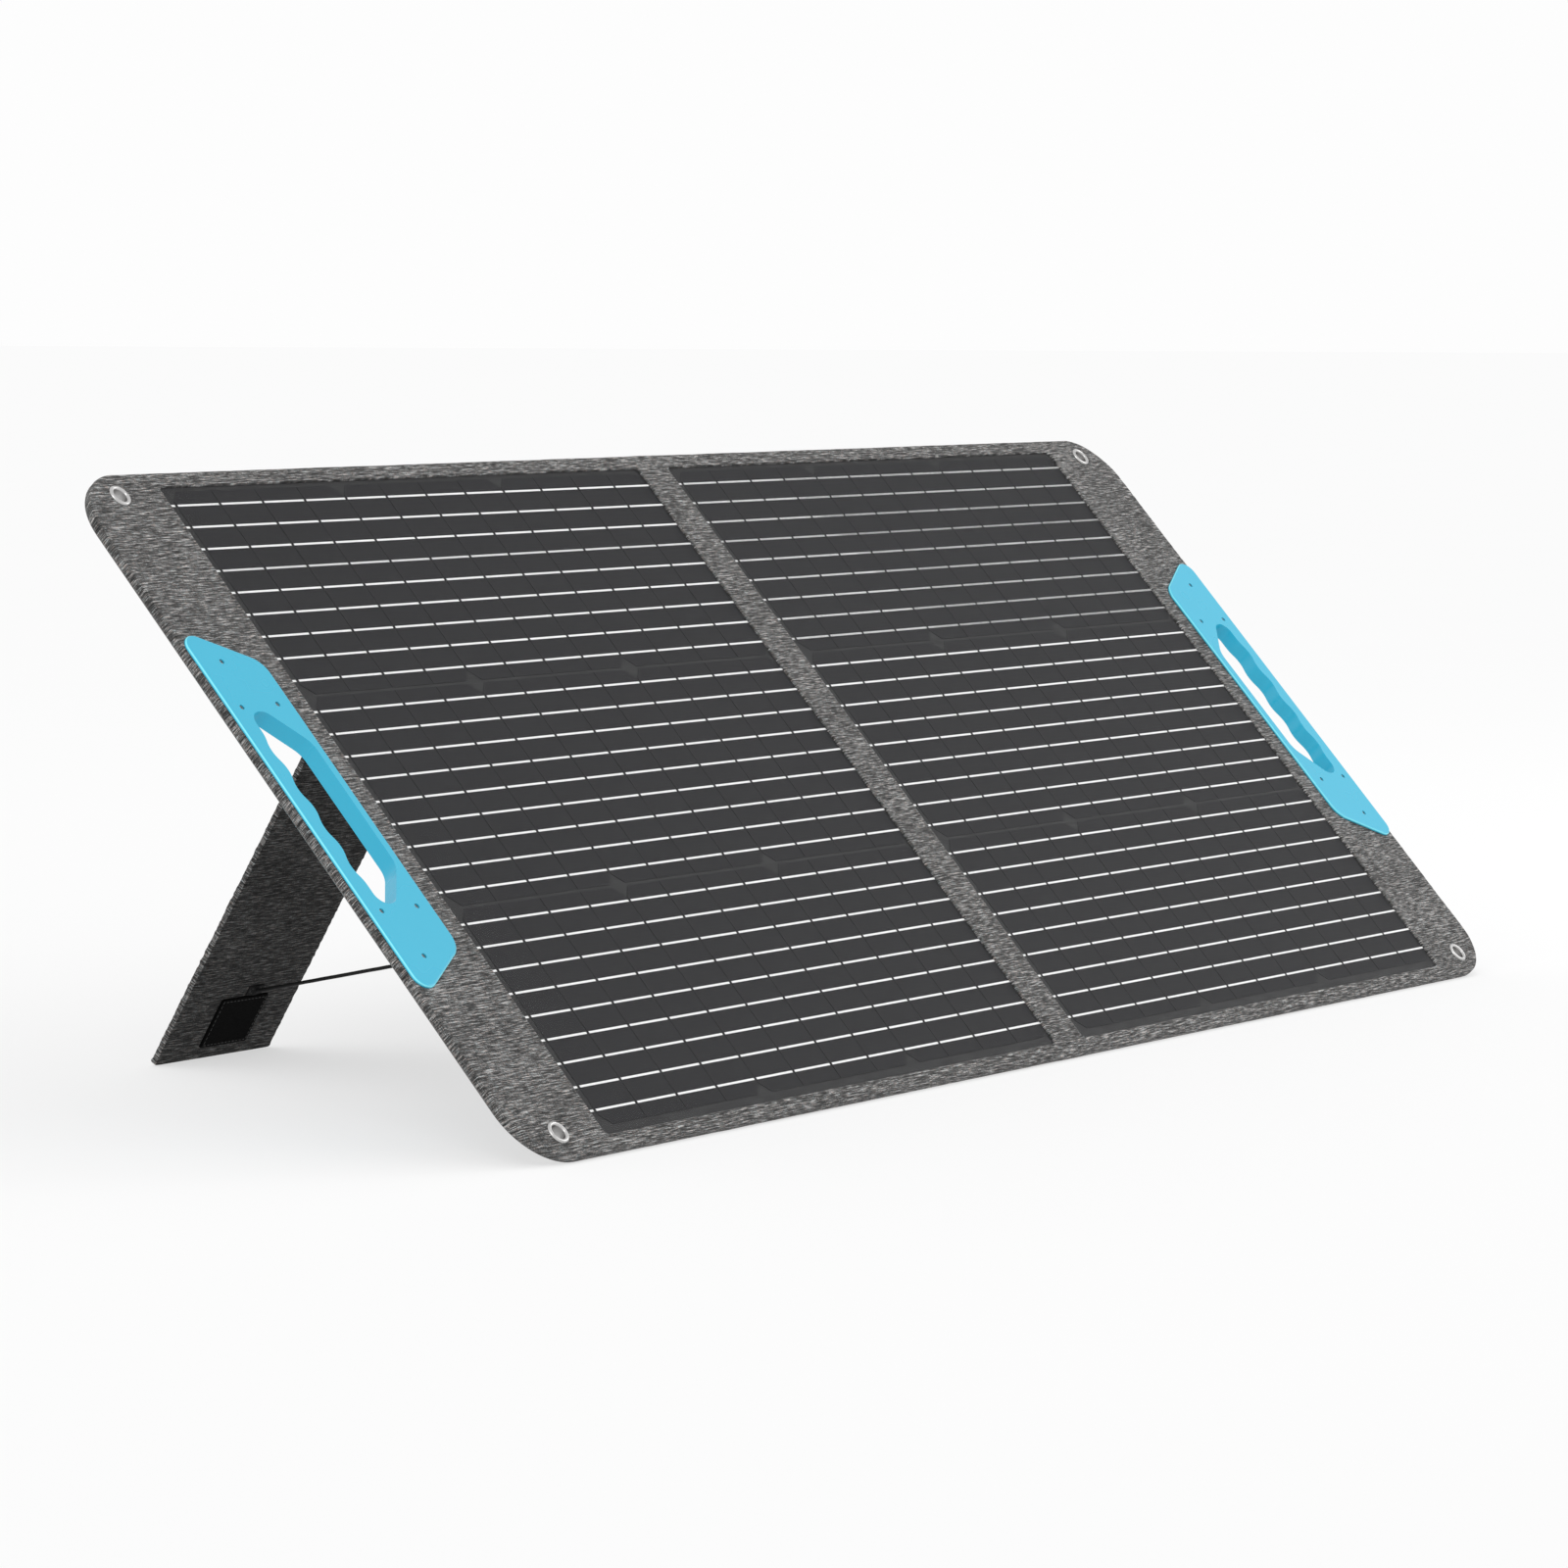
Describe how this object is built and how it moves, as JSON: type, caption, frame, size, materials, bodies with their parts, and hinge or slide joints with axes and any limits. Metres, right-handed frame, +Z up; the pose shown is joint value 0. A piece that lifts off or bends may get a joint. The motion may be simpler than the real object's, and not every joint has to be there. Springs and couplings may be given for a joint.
{
  "type": "folding solar panel",
  "caption": "Two-leaf folding solar panel in grey heather fabric with blue side handles, corner grommets and fold-out kickstands with tethers, standing open at an angle.",
  "frame": {"origin": "middle of the bounding box at floor level", "axes": "+Z up, the sunny side faces -Y and up, +X to the right seen from the front"},
  "size_m": [1.217, 0.494, 0.4009],
  "materials": {
    "heather_fabric": "woven grey heather polyester",
    "board": "pressed board",
    "foam": "closed-cell foam",
    "black_sheet": "matt laminate",
    "clear_film": "clear matt film",
    "solar_cell": "dark silicon",
    "tinned_ribbon": "tinned copper",
    "handle_plastic": "satin sky-blue moulding",
    "screw_steel": "plated steel",
    "nickel": "nickel-plated brass",
    "loop_pile": "black loop pile",
    "hook_pile": "black hook pile",
    "webbing": "black webbing",
    "cord": "braided black cord",
    "cable_jacket": "black jacket",
    "box_plastic": "fine-textured moulding",
    "seal_rubber": "matt rubber",
    "rail_plastic": "moulded insulator",
    "diode_body": "moulded body",
    "socket_plastic": "moulded plastic"
  },
  "bodies": {
    "left_leaf": {"left_front_cover": "heather_fabric", "left_back_cover": "heather_fabric", "left_edge_band": "heather_fabric", "left_bottom_hem": "heather_fabric", "left_core_board": "board", "left_grip_board": "board", "left_foam_strips": "foam", "left_back_sheet": "black_sheet", "left_solar_cells": "solar_cell", "left_busbar_ribbons": "tinned_ribbon", "left_front_film": "clear_film", "left_handle_front": "handle_plastic", "left_handle_back": "handle_plastic", "left_handle_screws": "screw_steel", "left_grommets": "nickel", "left_loop_patch": "loop_pile", "left_tether_anchor": "webbing", "left_stand_hinge": "heather_fabric", "left_tether": "cord"},
    "spine": {"spine_strip": "heather_fabric", "spine_front_strip": "heather_fabric", "spine_cables": "cable_jacket"},
    "right_leaf": {"right_front_cover": "heather_fabric", "right_back_cover": "heather_fabric", "right_edge_band": "heather_fabric", "right_bottom_hem": "heather_fabric", "right_core_board": "board", "right_grip_board": "board", "right_foam_strips": "foam", "right_back_sheet": "black_sheet", "right_solar_cells": "solar_cell", "right_busbar_ribbons": "tinned_ribbon", "right_front_film": "clear_film", "right_handle_front": "handle_plastic", "right_handle_back": "handle_plastic", "right_handle_screws": "screw_steel", "right_grommets": "nickel", "right_loop_patch": "loop_pile", "right_tether_anchor": "webbing", "right_stand_hinge": "heather_fabric", "right_tether": "cord", "box_base": "box_plastic", "box_gasket": "seal_rubber", "box_lid": "box_plastic", "box_screws": "screw_steel", "terminal_rail": "rail_plastic", "bypass_diodes": "diode_body", "output_socket": "socket_plastic", "cover_pin": "screw_steel"},
    "left_kickstand": {"left_stand_board": "board", "left_stand_inner_cover": "heather_fabric", "left_stand_outer_cover": "heather_fabric", "left_hook_patch": "hook_pile"},
    "right_kickstand": {"right_stand_board": "board", "right_stand_inner_cover": "heather_fabric", "right_stand_outer_cover": "heather_fabric", "right_hook_patch": "hook_pile"},
    "port_cover": {"port_cover": "seal_rubber"}
  },
  "joints": [
    {"name": "spine_fold", "type": "hinge", "parent": "left_leaf", "child": "spine", "pos_m": [-0.0101, -0.06122, 0.19719], "axis": [0, -0.6718, -0.7407], "range_deg": [0, 90], "deforming": ["spine_front_strip", "spine_cables"]},
    {"name": "leaf_fold", "type": "hinge", "parent": "spine", "child": "right_leaf", "pos_m": [0.0101, -0.06122, 0.19719], "axis": [0, -0.6718, -0.7407], "range_deg": [0, 90], "deforming": ["spine_front_strip", "spine_cables"]},
    {"name": "left_stand_fold", "type": "hinge", "parent": "left_leaf", "child": "left_kickstand", "pos_m": [-0.31945, 0.04388, 0.31261], "axis": [1, 0, 0], "range_deg": [-74.2, 0], "deforming": ["left_tether", "left_stand_hinge"]},
    {"name": "right_stand_fold", "type": "hinge", "parent": "right_leaf", "child": "right_kickstand", "pos_m": [0.31945, 0.04388, 0.31261], "axis": [1, 0, 0], "range_deg": [-74.2, 0], "deforming": ["right_tether", "right_stand_hinge"]},
    {"name": "port_cover_hinge", "type": "hinge", "parent": "right_leaf", "child": "port_cover", "pos_m": [0.125, -0.01021, 0.23125], "axis": [1, 0, 0], "range_deg": [-132.2, 0]}
  ],
  "couplings": [
    {"joint": "leaf_fold", "follows": "spine_fold", "ratio": 1}
  ]
}
